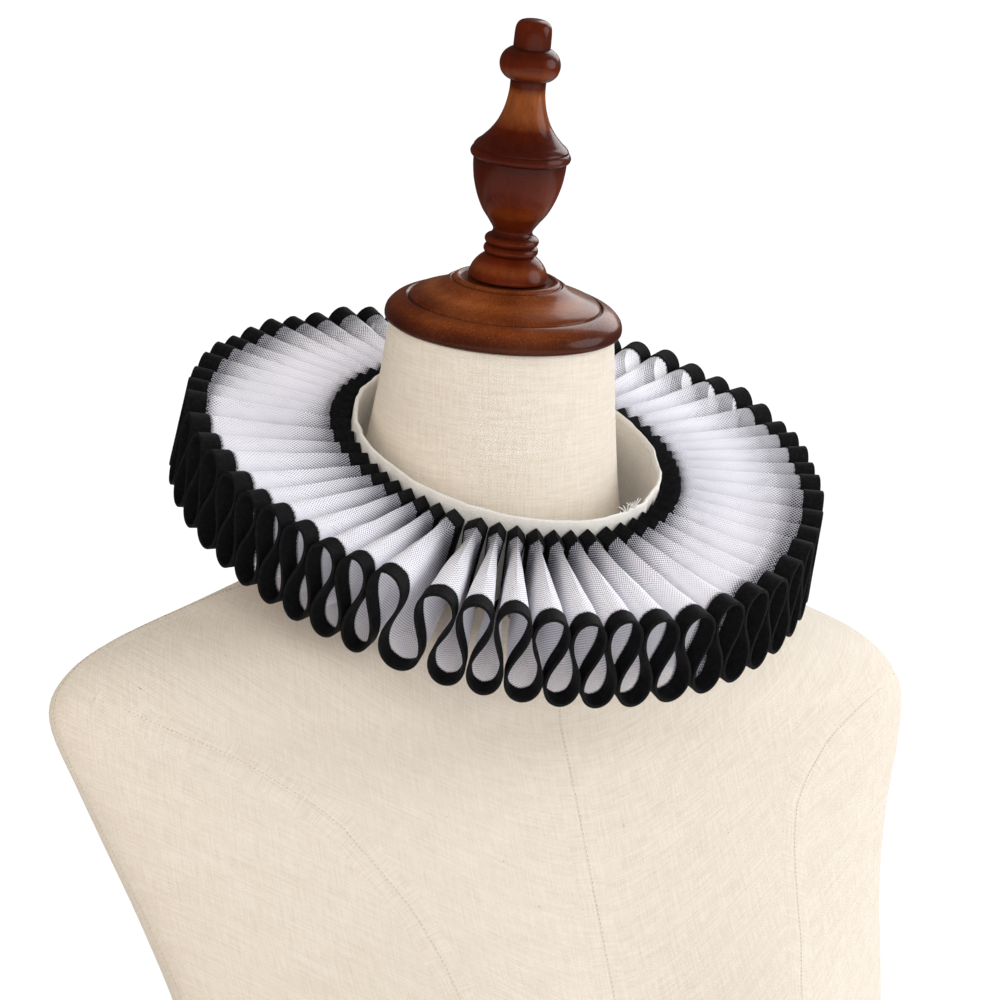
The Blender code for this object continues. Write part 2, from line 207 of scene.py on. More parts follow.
def make_cloth_material(name, colour, shade, fleck, thread, streak_length, depth, contrast):
    material, node, looks = start_material(name, 0.88, Sheen_Weight=0.12, Sheen_Roughness=0.5)
    cloth = node("ShaderNodeUVMap", uv_map="cloth")
    height, streaks, flecks = node("ShaderNodeGroup", {
        "Cloth": cloth, "Thread": thread, "Streak Length": streak_length},
        node_tree=WEAVE).siblings()
    share = (streaks * contrast + height * WEAVE_SHADE + LEAST_SHADE).ramp(0, 1)
    paint(looks, flecks.blend(share.blend(colour, shade), fleck),
          height + streaks * STREAK_RELIEF, 0.5, depth)
    return material


linen = make_cloth_material("natural_linen", *LINEN_COLOURS, *LINEN_WEAVE)


def eased(before, start, end, after, share):
    """A smooth curve's point between start and end."""
    return 0.5 * (2 * start + (end - before) * share
                  + (2 * before - 5 * start + 4 * end - after) * share ** 2
                  + (3 * start - before - 3 * end + after) * share ** 3)


def section_at(place):
    """The body's section at a place counted in table rows, eased through four rows."""
    last = len(BODY_SECTIONS) - 1
    row = min(int(place), last - 1)
    rows = (np.array(BODY_SECTIONS[min(max(row + step, 0), last)]) for step in (-1, 0, 1, 2))
    return eased(*rows, place - row)


def body_point(place, angle):
    """A point of the body's surface; angle 0 is +X and -90 degrees is the front."""
    height, wide, side_y, front_y, back_y, front_lean, back_lean, side_lean = section_at(place)
    at_front = math.sin(angle) < 0
    x = wide * math.cos(angle)
    depth = side_y - front_y if at_front else back_y - side_y
    y = side_y + depth * math.sin(angle)
    if at_front:
        spread = BUST_SPREAD_UP if height > BUST_HEIGHT else BUST_SPREAD_DOWN
        y += (BUST_OUT * math.sin(angle)
              * math.exp(-((abs(x) - BUST_X) / BUST_SPREAD_X) ** 2
                         - ((height - BUST_HEIGHT) / spread) ** 2))
    lean = front_lean if at_front else back_lean
    z = (height + (y - side_y) * math.tan(math.radians(lean))
         + x * math.tan(math.radians(side_lean)))
    return Vector((x, y, z))


def show(name, data):
    """A new object in the scene."""
    shown = bpy.data.objects.new(name, data)
    bpy.context.scene.collection.objects.link(shown)
    return shown


def start_piece(name, points, edges, faces, lengths=None):
    """A piece with this mesh.  lengths are the cloth's own at each face corner."""
    mesh = bpy.data.meshes.new(name)
    mesh.from_pydata([tuple(point) for point in points], edges, faces)
    if lengths is not None:
        layer = mesh.uv_layers.new(name="cloth")
        layer.data.foreach_set("uv", np.array(lengths, np.float32).ravel())
    return show(name, mesh)


def settle(mesh, place, sharp_angle):
    """Puts a mesh drawn in millimetres in its place, smooth but for its sharp edges."""
    mesh.transform(Matrix.Scale(MM, 4) @ place)
    mesh.shade_smooth()
    mesh.set_sharp_from_angle(angle=math.radians(sharp_angle))


def make_piece(name, points, faces, place, material, lengths=None, sharp_angle=40.0):
    piece = start_piece(name, points, [], faces, lengths)
    settle(piece.data, place, sharp_angle)
    piece.data.materials.append(material)
    return piece


def grid_faces(rows, columns, closed=False):
    """Quads over rows of points, and the (row, column) of each quad's corners."""
    faces, corners = [], []
    for row in range(rows - 1):
        for column in range(columns if closed else columns - 1):
            following = (column + 1) % columns
            faces.append((row * columns + column, (row + 1) * columns + column,
                          (row + 1) * columns + following, row * columns + following))
            corners += [(row, column), (row + 1, column),
                        (row + 1, column + 1), (row, column + 1)]
    return faces, corners


def tube_faces(rings, sides):
    """The same for closed rings of points, with a face over the first and the last."""
    faces, corners = grid_faces(rings, sides, closed=True)
    for ring, round_it in ((0, range(sides)), (rings - 1, range(sides - 1, -1, -1))):
        faces.append(tuple(ring * sides + side for side in round_it))
        corners += [(ring, side) for side in round_it]
    return faces, corners


def make_tube(name, points, place, material, lengths=None, sharp_angle=40.0):
    """A closed piece from rings of points.  lengths are the cloth's own at each point,
    with each ring's first point again at its end."""
    faces, corners = tube_faces(*points.shape[:2])
    if lengths is not None:
        lengths = [lengths[corner] for corner in corners]
    return make_piece(name, points.reshape(-1, 3), faces, place, material, lengths, sharp_angle)


def run_lengths(points, axis):
    """How far along its column (axis 0) or its row (axis 1) each point lies."""
    steps = np.linalg.norm(np.diff(points, axis=axis), axis=2)
    return np.cumsum(np.insert(steps, 0, 0, axis=axis), axis=axis)


def make_body():
    rings = RINGS_PER_SECTION * (len(BODY_SECTIONS) - 1) + 1
    turns = [math.radians(90 + 360 * side / BODY_SIDES) for side in range(BODY_SIDES)]
    points = np.array([[body_point(ring / RINGS_PER_SECTION, turn) for turn in turns]
                       for ring in range(rings)])
    closed = np.concatenate([points, points[:, :1]], axis=1)
    around, down = run_lengths(closed, 1), run_lengths(closed, 0)
    lengths = np.stack([around - around[:, -1:] * 0.5, down], axis=2)
    return make_tube("form_linen_cover", points, FORM_PLACE, linen, lengths)


body = make_body()
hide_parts("form_body")
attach(body, "root")


# --- seams of the linen cover ---
# The cover is cut in panels: a centre front seam, a seam over each breast from the
# armhole down, a side seam from each shoulder down, and three at the back.  Each is
# pressed open, so two low folds stand beside a fine sunken line, and is stitched just
# beside it.
SEAM_SECTION = ((-8, -0.2), (-6.2, 0.1), (-1.1, 0.3), (-0.35, 0.26), (0, 0.03),
                (0.35, 0.26), (1.1, 0.3), (6.2, 0.1), (8, -0.2))
BREAST_SEAM = (
    # height, distance from the centre on the -X side, and on the +X side
    (-101, 190, 192),
    (-106, 178, 178),
    (-113, 166, 163),
    (-120, 152, 150),
    (-127, 139, 139),
    (-135, 127, 129),
    (-144, 114, 120),
    (-156, 101, 111),
    (-170, 91.5, 106),
    (-188, 79.5, 102),
    (-207, 72.5, 97),
    (-228, 68.5, 86),
    (-285, 66, 74),
    (-350, 62, 64),
    (-430, 57, 57),
    (-560, 76, 76),
    (-672, 86, 86),
)
BACK_SEAM = ((-60, 104), (-90, 120), (-140, 112), (-230, 90),
             (-330, 74), (-430, 60), (-560, 82), (-672, 92))
SEAM_STEP, SEAM_ROWS_PER_SECTION = 6.0, 6
SEAM_TOP_ROW, SHOULDER_ROW, HEM_ROW = 5.6, 5.2, 28.9
SEAM_STITCH = (1.9, 1.1, 0.16)
STITCH_SIDE, STITCH_LIFT = 0.75, 0.3
THREAD_COLOUR = (0.68, 0.56, 0.41)
TWIST_SCALE, TWIST_RANGE, TWIST_SHADE = 900.0, (0.35, 0.7), 0.6
PROBE = 0.01


def seam_track(table, side, front):
    """Places and angles along a seam given by its distance from the centre."""
    heights, *reaches = zip(*table)
    down = [-height for height in heights]
    rows_down = [-section[0] for section in BODY_SECTIONS]
    track = []
    for height in np.arange(heights[0], heights[-1], -SEAM_STEP):
        place = min(float(np.interp(-height, rows_down, range(len(rows_down)))), HEM_ROW)
        out = np.interp(-height, down, reaches[0] if side < 0 else reaches[-1])
        angle = math.acos(max(-1, min(1, side * out / section_at(place)[1])))
        track.append((place, -angle if front else angle))
    return track


def upright_track(degrees, top_row):
    steps = int((HEM_ROW - top_row) * SEAM_ROWS_PER_SECTION)
    return [(top_row + (HEM_ROW - top_row) * step / steps, math.radians(degrees))
            for step in range(steps + 1)]


def onward_steps(points):
    """Which way a run of points goes at each of them."""
    return [after - before for before, after in
            zip(points[:1] + points, points[1:] + points[-1:])]


def frames_along(track):
    """Points and outward, sideways and onward ways along a track on the body, and how
    much the place and angle change for a millimetre sideways."""
    frames = []
    points = [body_point(*spot) for spot in track]
    for (place, angle), here, onward in zip(track, points, onward_steps(points)):
        down, turn = ((body_point(place + row, angle + side)
                       - body_point(place - row, angle - side)) / (2 * PROBE)
                      for row, side in ((PROBE, 0), (0, PROBE)))
        outward = turn.cross(down).normalized()
        outward = outward if outward.dot(Vector((here.x, here.y, 0))) > 0 else -outward
        sideways = outward.cross(onward).normalized()
        shift = np.linalg.lstsq(np.array([down, turn]).T, np.array(sideways), rcond=None)[0]
        frames.append((here, outward, sideways, onward, shift))
    return frames


def make_seam(name, track, frames):
    points, lengths, run, before = [], [], 0, frames[0][0]
    for (place, angle), (here, outward, _, _, shift) in zip(track, frames):
        run, before = run + (here - before).length, here
        for offset, lift in SEAM_SECTION:
            spot = body_point(place + shift[0] * offset, angle + shift[1] * offset)
            points.append(spot + outward * lift)
            lengths.append((offset, run))
    wide = len(SEAM_SECTION)
    faces, corners = grid_faces(len(track), wide)
    corner_lengths = [lengths[row * wide + column] for row, column in corners]
    return make_piece(name, points, faces, FORM_PLACE, linen, corner_lengths, 180)


def end_tree(node, geometry, material, result):
    """Ends a tree with real geometry in its material."""
    real = node("GeometryNodeRealizeInstances", {"Geometry": geometry})
    node("GeometryNodeSetMaterial", {"Geometry": real, "Material": material}).into(result[0])


def make_stitch_tree():
    """Thread stitches at even steps along a path, each lying the way its point says."""
    tree, node, given, result = start_group(
        "sewn_stitches", "GeometryNodeTree",
        {"Geometry": "Geometry", "Step": "Float", "Stitch Length": "Float",
         "Thread Radius": "Float", "Thread": "Material"}, {"Geometry": "Geometry"})
    path = node("GeometryNodeMeshToCurve", {"Mesh": given["Geometry"]})
    evened = node("GeometryNodeResampleCurve",
                  {"Curve": path, "Length": given["Step"]}, mode="LENGTH")
    bead = node("GeometryNodeMeshUVSphere", {"Segments": 5, "Rings": 4, "Radius": 1})
    smooth = node("GeometryNodeSetShadeSmooth", {"Geometry": bead})
    turned = node("GeometryNodeTransform",
                  {"Geometry": smooth, "Rotation": (0, math.pi / 2, 0)})
    radius = given["Thread Radius"]
    size = node("ShaderNodeCombineXYZ", {0: given["Stitch Length"] * 0.5, 1: radius, 2: radius})
    lay = node("GeometryNodeInputNamedAttribute", {"Name": "lay"}, data_type="FLOAT_VECTOR")
    turn = node("FunctionNodeAlignRotationToVector", {"Vector": lay}, axis="X")
    placed = node("GeometryNodeInstanceOnPoints", {
        "Points": evened, "Instance": turned, "Rotation": turn, "Scale": size})
    end_tree(node, placed, given["Thread"], result)
    return tree


STITCHES = make_stitch_tree()


def make_plain(piece, modifier):
    """Makes the piece's mesh plain again, as the modifier leaves it."""
    bpy.context.view_layer.update()
    graph = bpy.context.evaluated_depsgraph_get()
    mesh = bpy.data.meshes.new_from_object(piece.evaluated_get(graph),
                                           preserve_all_data_layers=True, depsgraph=graph)
    piece.modifiers.remove(modifier)
    piece.data = mesh


def run_tree(piece, tree, values):
    modifier = piece.modifiers.new(tree.name, "NODES")
    modifier.node_group = tree
    for item in tree.interface.items_tree:
        if item.name in values:
            modifier[item.identifier] = values[item.name]
    make_plain(piece, modifier)


def note(piece, label, values):
    """Keeps a number or a direction for each of the piece's points."""
    values = np.array(values, np.float32)
    kind, key = ("FLOAT", "value") if values.ndim == 1 else ("FLOAT_VECTOR", "vector")
    piece.data.attributes.new(label, kind, "POINT").data.foreach_set(key, values.ravel())


def sew(name, runs, place, thread, step, length, radius):
    """Stitches along runs of (point, direction the stitch lies) in millimetres."""
    points, edges, lays = [], [], []
    for run in runs:
        edges += [(number, number + 1)
                  for number in range(len(points), len(points) + len(run) - 1)]
        points += [spot for spot, _ in run]
        lays += [lay for _, lay in run]
    piece = start_piece(name, points, edges, [])
    note(piece, "lay", lays)
    run_tree(piece, STITCHES, {"Step": step, "Stitch Length": length,
                               "Thread Radius": radius, "Thread": thread})
    piece.data.transform(Matrix.Scale(MM, 4) @ place)
    return piece


def make_thread(name, colour, roughness):
    material, node, looks = start_material(name, roughness, Sheen_Weight=0.2)
    spot = node("ShaderNodeTexCoord", output="Object")
    share = soft_noise(spot, TWIST_SCALE, 2).ramp(*TWIST_RANGE)
    dark = [value * TWIST_SHADE for value in colour]
    share.blend(dark, colour).into(looks["Base Color"])
    return material


linen_thread = make_thread("linen_thread", THREAD_COLOUR, 0.8)

seam_tracks = {
    "centre_front": upright_track(-90.0, SEAM_TOP_ROW),
    "breast_minus_x": seam_track(BREAST_SEAM, -1.0, front=True),
    "breast_plus_x": seam_track(BREAST_SEAM, 1.0, front=True),
    "side_minus_x": upright_track(180.0, SHOULDER_ROW),
    "side_plus_x": upright_track(0.0, SHOULDER_ROW),
    "centre_back": upright_track(90.0, SEAM_TOP_ROW),
    "back_minus_x": seam_track(BACK_SEAM, -1.0, front=False),
    "back_plus_x": seam_track(BACK_SEAM, 1.0, front=False),
}
seams, stitch_runs = [], []
for seam_name, track in seam_tracks.items():
    frames = frames_along(track)
    seams.append(make_seam("seam_" + seam_name, track, frames))
    stitch_runs.append([(here + outward * STITCH_LIFT + sideways * STITCH_SIDE,
                         onward.normalized()) for here, outward, sideways, onward, _ in frames])
seam_stitches = sew("seam_stitches", stitch_runs, FORM_PLACE, linen_thread, *SEAM_STITCH)
for piece in (*seams, seam_stitches):
    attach(piece, "root")


# --- turned cap and finial ---
# The neck is closed by a cap turned from one board, and a vase finial turned from a
# square stick stands glued in it.  Both are beech, stained dark red-brown and thickly
# varnished.  Their turned grooves and recesses are darkened with painted shade, and the
# shaft is lightened partly by thin stain and partly by a painted highlight.
NECK_TOP, NECK_TILT = (-0.2, 2.1, 53.7), 17.4
CAP_SIDE_LEAN, FINIAL_SIDE_LEAN = -3.3, -2.3
TURNED_SIDES, STEPS_PER_CURVE = 96, 4
CAP_PROFILE = (
    # radius, height above the brim's middle, sharp edge (1) or eased (0), stain and painted
    # shade
    # In the grooves and recesses this is painted shade; along the shaft, below 0, a painted
    # highlight
    (49.4, -2.3, 1, 1),
    (50.6, -1.7, 0, 1),
    (51, -0.4, 0, 0.95),
    (50.8, 1.4, 0, 0.9),
    (49.9, 3.4, 0, 0.65),
    (47.4, 5.9, 0, 0.05),
    (44.4, 7.5, 0, 0.1),
    (42.4, 8, 1, 0.3),
    (41.4, 7.4, 0, 0.7),
    (40.9, 8.5, 1, 0.3),
    (39.4, 9.7, 0, 0.2),
    (36.4, 10.9, 0, 0),
    (32, 12.5, 0, -0.3),
    (28, 14.4, 0, 0),
    (25.6, 16.2, 0, 0.1),
    (24.4, 16.9, 1, 0.3),
    (23.4, 16.7, 0, 0.7),
    (23, 17.5, 0, 0.2),
    (22, 18.3, 0, 0),
    (20.8, 18.2, 0, 0),
    (20, 17.7, 1, 0.2),
    (17.4, 17.6, 1, 0.6),
)
FINIAL_PROFILE = (
    (16.6, 18.2, 1, 0.5),
    (17, 18.8, 0, 0.2),
    (16.7, 21, 0, 0),
    (15.4, 24, 0, -0.25),
    (13.2, 26.7, 0, 0),
    (10.9, 28.5, 0, 0.3),
    (10.3, 28.9, 1, 1),
    (11.3, 29.6, 0, 0.4),
    (11.7, 30.8, 0, 0),
    (11.3, 32.1, 0, 0.4),
    (10.3, 33, 1, 1),
    (11.2, 33.8, 0, 0.4),
    (11.6, 35.2, 0, 0),
    (10.9, 36.5, 0, 0.4),
    (9.4, 37.3, 1, 0.9),
    (8.6, 38.4, 0, 0.7),
    (8.6, 39.9, 0, 0.5),
    (10.8, 43.3, 0, 0.2),
    (14, 47.7, 0, -0.15),
    (16.7, 53.4, 0, 0),
    (18.7, 60, 0, 0.15),
    (19.6, 65.9, 0, 0.5),
    (19.8, 69.9, 1, 0.9),
    (20.9, 70.7, 0, 0.6),
    (21.4, 72.2, 0, 0.4),
    (20.7, 73.8, 0, 0.6),
    (20.2, 74.3, 1, 0.9),
    (20.1, 75.1, 0, 0.6),
    (19, 76.5, 0, 0.5),
    (17.8, 77.4, 1, 0.6),
    (14.4, 81, 0, 0.35),
    (11.2, 85.8, 0, -0.3),
    (8.9, 91.8, 0, -0.6),
    (7.7, 98.4, 0, -0.62),
    (7.6, 103.9, 1, 0.9),
    (9.8, 104.6, 0, 0.3),
    (12, 106.9, 0, -0.25),
    (12.9, 110.2, 0, 0),
    (12.5, 113, 0, 0.3),
    (11.2, 115.3, 0, 0.6),
    (9.4, 116.8, 0, 0.6),
    (7.9, 117.5, 1, 1),
    (7.9, 119.2, 0, 0.5),
    (7.8, 124, 0, 0.4),
    (7.4, 126.6, 0, 0.3),
    (6.2, 128.4, 0, 0.2),
    (4.1, 129.3, 0, 0.2),
    (1.5, 129.6, 0, 0.2),
)
WOOD_DARK = (0.046, 0.0045, 0.0009)
WOOD_MIDDLE = (0.115, 0.0105, 0.0006)
WOOD_LIGHT = (0.36, 0.105, 0.026)
# Dark of the stain, also used as painted shade in the turned grooves and recesses
WOOD_STAIN_AND_SHADE = (0.022, 0.004, 0.003)
WOOD_COAT = 0.26
BOARD_GRAIN = (math.radians(-NECK_TILT), math.radians(90.0), 0.0)
STICK_GRAIN = (math.radians(-NECK_TILT), math.radians(-CAP_SIDE_LEAN), 0.0)
BOARD_PATCHES, STICK_PATCHES = 1.7, 5.2
BOARD_WORN, STICK_WORN = 0.36, 0.05
# How close the marks lie in each direction, and which heights of their noise they show
STREAK_SCALE, STREAK_RANGE = (260.0, 260.0, 22.0), (0.25, 0.75)
PORE_SCALE, PORE_RANGE = (1500.0, 1500.0, 190.0), (0.60, 0.72)
SCRATCH_SCALE, SCRATCH_RANGE = (420.0, 1300.0, 1300.0), (0.52, 0.70)
PATCH_SCALE, PATCH_RANGE = 30.0, (0.36, 0.64)
PORE_SHADE, STAIN_SHADE = 0.3, 0.8
VARNISH_ROUGH, SCRATCH_ROUGH, PORE_ROUGH = 0.36, 0.15, 0.1


def leaning(side_lean, tilt):
    return (Matrix.Rotation(math.radians(side_lean), 4, "Y")
            @ Matrix.Rotation(math.radians(tilt), 4, "X"))


def turned_outline(profile):
    """Radius, height and stain with painted shade along the profile from its top, its curves
    eased and its sharp edges kept."""
    rows = np.array(profile, float)
    last = len(rows) - 1
    outline = []
    for number in range(last):
        start, end = rows[number], rows[number + 1]
        before = start if start[2] else rows[max(number - 1, 0)]
        after = end if end[2] else rows[min(number + 2, last)]
        outline += [eased(before, start, end, after, step / STEPS_PER_CURVE)
                    for step in range(STEPS_PER_CURVE)]
    return np.array([*outline, rows[-1]])[::-1, [0, 1, 3]]


def make_turned(name, profile, place, material):
    """A turned piece on this place's upright axis, closed at both ends."""
    turns = 2 * math.pi * np.arange(TURNED_SIDES) / TURNED_SIDES
    outline = turned_outline(profile)
    points = np.array([[(radius * math.cos(turn), radius * math.sin(turn), height)
                        for turn in turns] for radius, height, _ in outline])
    piece = make_tube(name, points, place, material, sharp_angle=48)
    # Kept per point: stain and painted shade, and below 0 thin stain, on the shaft with a
    # painted highlight
    note(piece, "stain", np.repeat(np.clip(outline[:, 2], -1, 1), TURNED_SIDES))
    return piece


def make_wood(name, grain_turn, patch_seed, worn):
    """Stained beech: faint long grain, short dark pores and broad patches where the stain is
    thin, with fine pale scratches where it is worn.  Each turned row is darker with its
    stain and painted shade, or lighter where the stain is thin and, along the shaft, with
    a painted highlight."""
    material, node, looks = start_material(
        name, VARNISH_ROUGH, Coat_Weight=WOOD_COAT, Coat_Roughness=0.14,
        Specular_IOR_Level=0.04)
    spot = node("ShaderNodeTexCoord", output="Object")
    grain_way = node("ShaderNodeMapping", {"Vector": spot, "Rotation": grain_turn})

    def marks(scale, detail, seen):
        stretch = node("ShaderNodeMapping", {"Vector": grain_way, "Scale": scale})
        return soft_noise(stretch, 1, detail, 0.6).ramp(*seen)

    streak = marks(STREAK_SCALE, 4, STREAK_RANGE)
    pore = marks(PORE_SCALE, 1, PORE_RANGE)
    scratch = marks(SCRATCH_SCALE, 3, SCRATCH_RANGE)
    patch = node("ShaderNodeTexNoise", {
        "Vector": spot, "W": patch_seed, "Scale": PATCH_SCALE, "Detail": 2.0},
        noise_dimensions="4D").ramp(*PATCH_RANGE)
    # The row's stain and painted shade; where thin, along the shaft partly a painted highlight
    stain_and_shading = node("ShaderNodeAttribute", output="Fac", attribute_name="stain")
    stain, thin = stain_and_shading.ramp(0, 1), stain_and_shading.ramp(0, -1)
    plain = (streak * 0.5 + patch * 0.5).blend(WOOD_DARK, WOOD_MIDDLE)
    warmth = ((patch * (streak * 0.8 + 0.6) + scratch + 0.2) * worn
              + thin * (streak * 0.5 + 0.5))
    pored = (pore * PORE_SHADE).blend(warmth.blend(plain, WOOD_LIGHT), WOOD_DARK)
    (scratch * SCRATCH_ROUGH + pore * PORE_ROUGH + VARNISH_ROUGH).into(looks["Roughness"])
    paint(looks, (stain * STAIN_SHADE).blend(pored, WOOD_STAIN_AND_SHADE), streak * 0.4 - pore, 0.2, 0.1)
    return material


board_wood = make_wood("varnished_board", BOARD_GRAIN, BOARD_PATCHES, BOARD_WORN)
stick_wood = make_wood("varnished_stick", STICK_GRAIN, STICK_PATCHES, STICK_WORN)
on_neck = FORM_PLACE @ Matrix.Translation(NECK_TOP)
cap = make_turned("turned_cap", CAP_PROFILE, on_neck @ leaning(CAP_SIDE_LEAN, NECK_TILT),
                  board_wood)
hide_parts("neck_cap")
finial = make_turned("turned_finial", FINIAL_PROFILE,
                     on_neck @ leaning(FINIAL_SIDE_LEAN, NECK_TILT), stick_wood)
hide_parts("finial")
for wooden in (cap, finial):
    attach(wooden, "root")


# --- neckband ---
# A folded band of white woven cotton stands round the neck, clear of the form.  The
# pleats are drawn onto it by hand, which puckers it, and its two folded edges are
# stitched down from end to end; the ends meet at the back opening.
COLLAR_SIDE_LEAN, COLLAR_TILT = -2.7, 28.5
COLLAR_PLACE = FORM_PLACE @ leaning(COLLAR_SIDE_LEAN, COLLAR_TILT)
NECK_RADIUS_X, NECK_RADIUS_Y = 64.0, 71.7
BAND_WALL, BAND_TOP, BAND_BOTTOM = 1.6, 3.6, -37.0
BAND_COLUMNS, BAND_ROWS = 300, 16
PUCKER_DEPTH, PUCKER_WIDTH, PUCKER_HEIGHT, PUCKER_SLANT = 1.0, 9.0, 26.0, 0.7
# A folded edge: how far through the wall, and how far up its rounded part
EDGE_ROUND, EDGE_CURVE = 0.8, ((0.12, 0.45), (0.5, 0.95), (0.88, 0.45))
OPENING_ANGLE, OPENING_GAP = -181.6, 0.5
COTTON_COLOUR, COTTON_SHADE = (0.86, 0.83, 0.78), (0.62, 0.57, 0.50)
COTTON_WEAVE = (0.55, 9.0, 0.28, 0.5)
WHITE_THREAD = (0.84, 0.82, 0.78)
BAND_STITCH, BAND_STITCH_SPOTS = (2.3, 1.6, 0.2), 721
STITCH_INSET, STITCH_SINK, STITCH_STOP = 2.4, 0.08, 2.0
TUFTS = ((22.0, 4), (27.0, 6))  # degrees round the band, number of threads
TUFT_LENGTH, TUFT_RADIUS, TUFT_RINGS, TUFT_SIDES = 4.4, 0.26, 6, 6
TUFT_FAN, TUFT_IN, TUFT_DROOP = 0.75, 0.35, 0.6

cotton = make_cloth_material("cream_cotton", COTTON_COLOUR, COTTON_SHADE, COTTON_SHADE,
                             *COTTON_WEAVE)
white_thread = make_thread("white_thread", WHITE_THREAD, 0.7)


def pucker(angle, height):
    """How far the band's cloth is pushed in towards the neck, in millimetres."""
    along = NECK_RADIUS_X * angle
    slow = noise.noise(Vector((along / PUCKER_WIDTH, height / PUCKER_HEIGHT, 2.4)))
    slanting = (along + height * PUCKER_SLANT) / (PUCKER_WIDTH * 0.5)
    lean = noise.noise(Vector((slanting, height / 20, 7.1)))
    return PUCKER_DEPTH * max(0, 0.45 + 0.9 * slow + 0.45 * lean)


def on_band(angle, out, height):
    return Vector(((NECK_RADIUS_X + out) * math.sin(angle),
                   -(NECK_RADIUS_Y + out) * math.cos(angle), height))


def curved_band_section(wall, low, high, rows):
    """A band's cross-section from its inner face over the top and down outside."""
    low, high = low + EDGE_ROUND, high - EDGE_ROUND
    inner = [(0, low + (high - low) * row / rows) for row in range(rows + 1)]
    outer = [(wall, height) for _, height in reversed(inner)]
    over = [(wall * out, EDGE_ROUND * height) for out, height in EDGE_CURVE]
    return (inner + [(out, high + height) for out, height in over]
            + outer + [(out, low - height) for out, height in reversed(over)])


def make_curved_band(name, start, end, columns, section, inset, push, material):
    """A closed band of cloth that follows the neck opening between two angles."""
    points, lengths = [], []
    steps = [math.dist(*pair) for pair in zip(section[:1] + section, section)]
    for angle in np.radians(np.linspace(start, end, columns + 1)):
        points.append([on_band(angle, inset + out - push(angle, height), height)
                       for out, height in section])
        lengths.append([(angle * NECK_RADIUS_X, run) for run in [*np.cumsum(steps), 0]])
    return make_tube(name, np.array(points), COLLAR_PLACE, material, np.array(lengths), 60)


band = make_curved_band("neckband_cloth", OPENING_ANGLE + OPENING_GAP,
                        OPENING_ANGLE + 360 - OPENING_GAP, BAND_COLUMNS,
                        curved_band_section(BAND_WALL, BAND_BOTTOM, BAND_TOP, BAND_ROWS),
                        0, pucker, cotton)
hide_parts("neckband")

band_runs = []
for height in (BAND_TOP - STITCH_INSET, BAND_BOTTOM + STITCH_INSET):
    turns = np.radians(np.linspace(OPENING_ANGLE + STITCH_STOP,
                                   OPENING_ANGLE + 360 - STITCH_STOP, BAND_STITCH_SPOTS))
    spots = [on_band(turn, -pucker(turn, height) - STITCH_SINK, height) for turn in turns]
    band_runs.append(list(zip(spots, onward_steps(spots))))
band_stitches = sew("neckband_stitches", band_runs, COLLAR_PLACE, white_thread, *BAND_STITCH)


def tuft_thread(turn, fan, length):
    """Rings round one cut sewing thread, which fans out and droops from its tuft."""
    tangent = Vector((math.cos(turn), math.sin(turn), 0))
    inward = Vector((-math.sin(turn), math.cos(turn), 0))
    start = on_band(turn, 0.5, BAND_TOP - 0.6) + tangent * fan * 0.5
    way = UP + tangent * fan * TUFT_FAN + inward * (TUFT_IN - 0.2 * fan)
    side = way.cross(tangent).normalized()
    other = way.cross(side).normalized()
    points = []
    for share in np.linspace(1, 0, TUFT_RINGS):
        middle = (start + way.normalized() * length * share
                  + (tangent * fan - UP * TUFT_DROOP) * share ** 2)
        radius = TUFT_RADIUS * (1 - 0.3 * share ** 3)
        for angle in np.arange(TUFT_SIDES) * (2 * math.pi / TUFT_SIDES):
            points.append(middle + (side * math.cos(angle) + other * math.sin(angle)) * radius)
    return points


def make_tufts():
    points, faces = [], []
    for degrees, threads in TUFTS:
        turn = math.radians(degrees)
        for thread in range(threads):
            faces += [[len(points) + corner for corner in face]
                      for face in tube_faces(TUFT_RINGS, TUFT_SIDES)[0]]
            length = TUFT_LENGTH * (1 - 0.16 * math.sin(5 * thread + 9 * turn))
            points += tuft_thread(turn, 2 * thread / (threads - 1) - 1, length)
    return make_piece("thread_tufts", points, faces, COLLAR_PLACE, white_thread)


tufts = make_tufts()
for piece in (band, band_stitches, tufts):
    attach(piece, "root")


# --- back fastening ---
# A plain white hook-and-loop tab lies across the back opening on the band's inner face.
# Its looped pile faces the neck, and it is machine stitched round its edge.
TAB_HALF_ANGLE, TAB_COLUMNS, TAB_ROWS = 10.0, 24, 12
TAB_WALL, TAB_TOP, TAB_BOTTOM = 1.2, 0.0, -34.0
TAB_STITCH_TURN, TAB_STITCH_INSET, TAB_STITCH_STEPS = 8.4, 2.0, 12
SEAM_GAP = 0.3
TAB_STITCH_OUT = -SEAM_GAP - TAB_WALL - 0.1
PILE_COLOUR, PILE_SHADE, PILE_SCALE = (0.83, 0.82, 0.80), 0.7, 1.9


def make_pile_material():
    material, node, looks = start_material("looped_pile", 0.95, Sheen_Weight=0.3)
    cloth = node("ShaderNodeUVMap", uv_map="cloth")
    loops = node("ShaderNodeTexVoronoi", {"Vector": cloth, "Scale": PILE_SCALE}, "Distance")
    share = loops.ramp(0.1, 0.75)
    dark = [value * PILE_SHADE for value in PILE_COLOUR]
    paint(looks, share.blend(PILE_COLOUR, dark), 1 - share, 0.7, 0.4)
    return material


def on_tab(spot):
    """The tab's face at this spot's height and angle round the neck."""
    turn = math.atan2(spot.x / NECK_RADIUS_X, -spot.y / NECK_RADIUS_Y)
    return on_band(turn, TAB_STITCH_OUT, spot.z)


